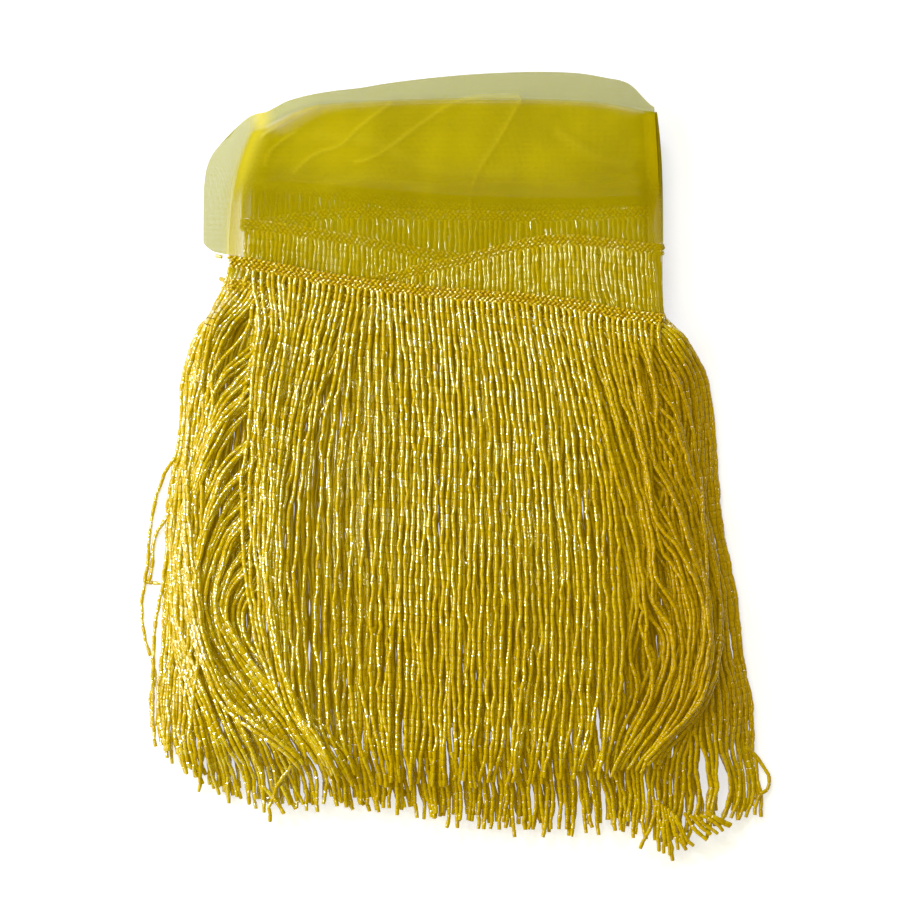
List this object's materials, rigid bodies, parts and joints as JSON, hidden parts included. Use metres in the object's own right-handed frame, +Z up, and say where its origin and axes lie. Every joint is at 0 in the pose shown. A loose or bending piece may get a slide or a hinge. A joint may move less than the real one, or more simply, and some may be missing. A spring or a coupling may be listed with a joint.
{
  "type": "beaded fringe trim",
  "caption": "Beaded fringe trim: long strings of bugle beads on a sheer net ribbon, folded back and forth into a flat bundle.",
  "frame": {"origin": "on the surface that the bundle lies on, under the middle of its bounding box", "axes": "+X along the folded ribbon, to the right in the picture; +Y from the tips of the bead strings towards the net's top edge; +Z up from the surface"},
  "size_m": [0.2715, 0.341, 0.0186],
  "materials": {
    "net": "sheer yellow net, matt",
    "beads": "yellow lined glass beads, glossy"
  },
  "bodies": {
    "root": {"net_ribbon": "net", "beaded_fringe": "beads"}
  },
  "joints": []
}
